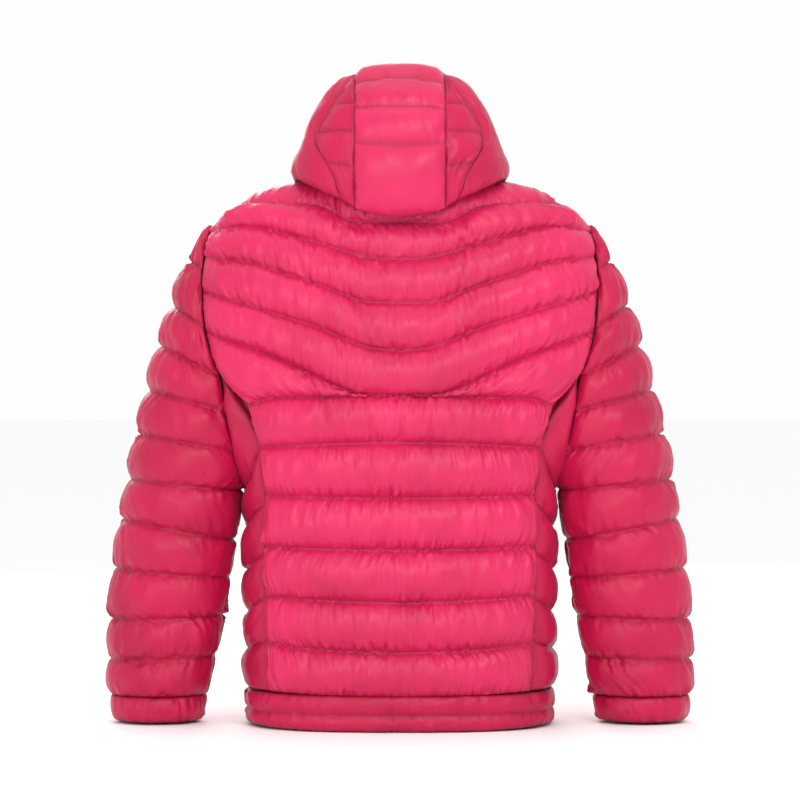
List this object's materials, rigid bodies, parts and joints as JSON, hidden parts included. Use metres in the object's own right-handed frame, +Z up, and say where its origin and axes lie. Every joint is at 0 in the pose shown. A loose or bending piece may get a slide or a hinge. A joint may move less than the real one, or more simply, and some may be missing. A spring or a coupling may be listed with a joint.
{
  "type": "ski jacket",
  "caption": "Quilted, insulated ski jacket with a sewn-on hood, a full-length front zip, two zipped hand pockets, a hem band and cuffs.",
  "frame": {"origin": "centre of the jacket's bounding box, on the plane that its hem stands on", "axes": "+Z up from hem to hood, -Y out of the front zip, +X to the wearer's left"},
  "size_m": [0.7834, 0.2856, 0.902],
  "materials": {
    "shell": "satin",
    "shell_deep": "satin",
    "lining": "matte",
    "tape": "matte",
    "zip_teeth": "satin",
    "zip_metal": "satin",
    "puller": "matte"
  },
  "bodies": {
    "jacket_body": {"hem_band": "shell_deep", "back_panel": "shell", "front_panel_left": "shell", "front_panel_right": "shell", "side_panel_left": "shell", "side_panel_right": "shell", "body_lining": "lining", "storm_flap": "shell_deep", "hood_centre_panel": "shell", "hood_side_panel_left": "shell", "hood_side_panel_right": "shell", "hood_roll_left": "shell", "hood_roll_right": "shell", "hood_lining": "lining", "hood_binding": "shell_deep", "collar": "shell_deep", "hang_loop": "tape", "chin_guard": "lining", "front_zip_tape_left": "tape", "front_zip_tape_right": "tape", "front_zip_teeth_left": "zip_teeth", "front_zip_teeth_right": "zip_teeth", "front_zip_top_stop_left": "zip_metal", "front_zip_top_stop_right": "zip_metal", "front_zip_insertion_pin": "zip_metal", "front_zip_retainer_box": "zip_metal", "pocket_zip_tape_left": "tape", "pocket_zip_tape_right": "tape", "pocket_zip_teeth_left": "zip_teeth", "pocket_zip_teeth_right": "zip_teeth", "pocket_bag_left": "lining", "pocket_bag_right": "lining"},
    "left_sleeve": {"sleeve_left": "shell_deep", "cuff_left": "shell_deep", "sleeve_lining_left": "lining"},
    "right_sleeve": {"sleeve_right": "shell_deep", "cuff_right": "shell_deep", "sleeve_lining_right": "lining"},
    "front_zip_slider": {"front_zip_slider": "zip_metal"},
    "front_zip_puller": {"front_zip_puller": "puller"},
    "left_pocket_slider": {"pocket_zip_slider_left": "zip_metal"},
    "left_pocket_puller": {"pocket_zip_puller_left": "puller"},
    "right_pocket_slider": {"pocket_zip_slider_right": "zip_metal"},
    "right_pocket_puller": {"pocket_zip_puller_right": "puller"}
  },
  "joints": [
    {"name": "left_sleeve_raise", "type": "hinge", "parent": "jacket_body", "child": "left_sleeve", "pos_m": [0.269, -0.006, 0.685], "axis": [0, -1, 0], "range_deg": [0, 75]},
    {"name": "right_sleeve_raise", "type": "hinge", "parent": "jacket_body", "child": "right_sleeve", "pos_m": [-0.269, -0.006, 0.685], "axis": [0, 1, 0], "range_deg": [0, 75]},
    {"name": "front_zip_slide", "type": "slide", "parent": "jacket_body", "child": "front_zip_slider", "axis": [0, -0.043, -0.9991], "range_m": [0, 0.7387]},
    {"name": "front_puller_swing", "type": "hinge", "parent": "front_zip_slider", "child": "front_zip_puller", "pos_m": [0, -0.11203, 0.75608], "axis": [-1, 0, 0], "range_deg": [0, 165]},
    {"name": "left_pocket_slide", "type": "slide", "parent": "jacket_body", "child": "left_pocket_slider", "axis": [0.2031, 0.0615, -0.9772], "range_m": [0, 0.1407]},
    {"name": "left_pocket_puller_swing", "type": "hinge", "parent": "left_pocket_slider", "child": "left_pocket_puller", "pos_m": [0.12845, -0.11619, 0.26365], "axis": [-0.8743, -0.4379, -0.2092], "range_deg": [0, 165]},
    {"name": "right_pocket_slide", "type": "slide", "parent": "jacket_body", "child": "right_pocket_slider", "axis": [-0.2031, 0.0615, -0.9772], "range_m": [0, 0.1407]},
    {"name": "right_pocket_puller_swing", "type": "hinge", "parent": "right_pocket_slider", "child": "right_pocket_puller", "pos_m": [-0.12845, -0.11619, 0.26365], "axis": [-0.8743, 0.4379, 0.2092], "range_deg": [0, 165]}
  ]
}
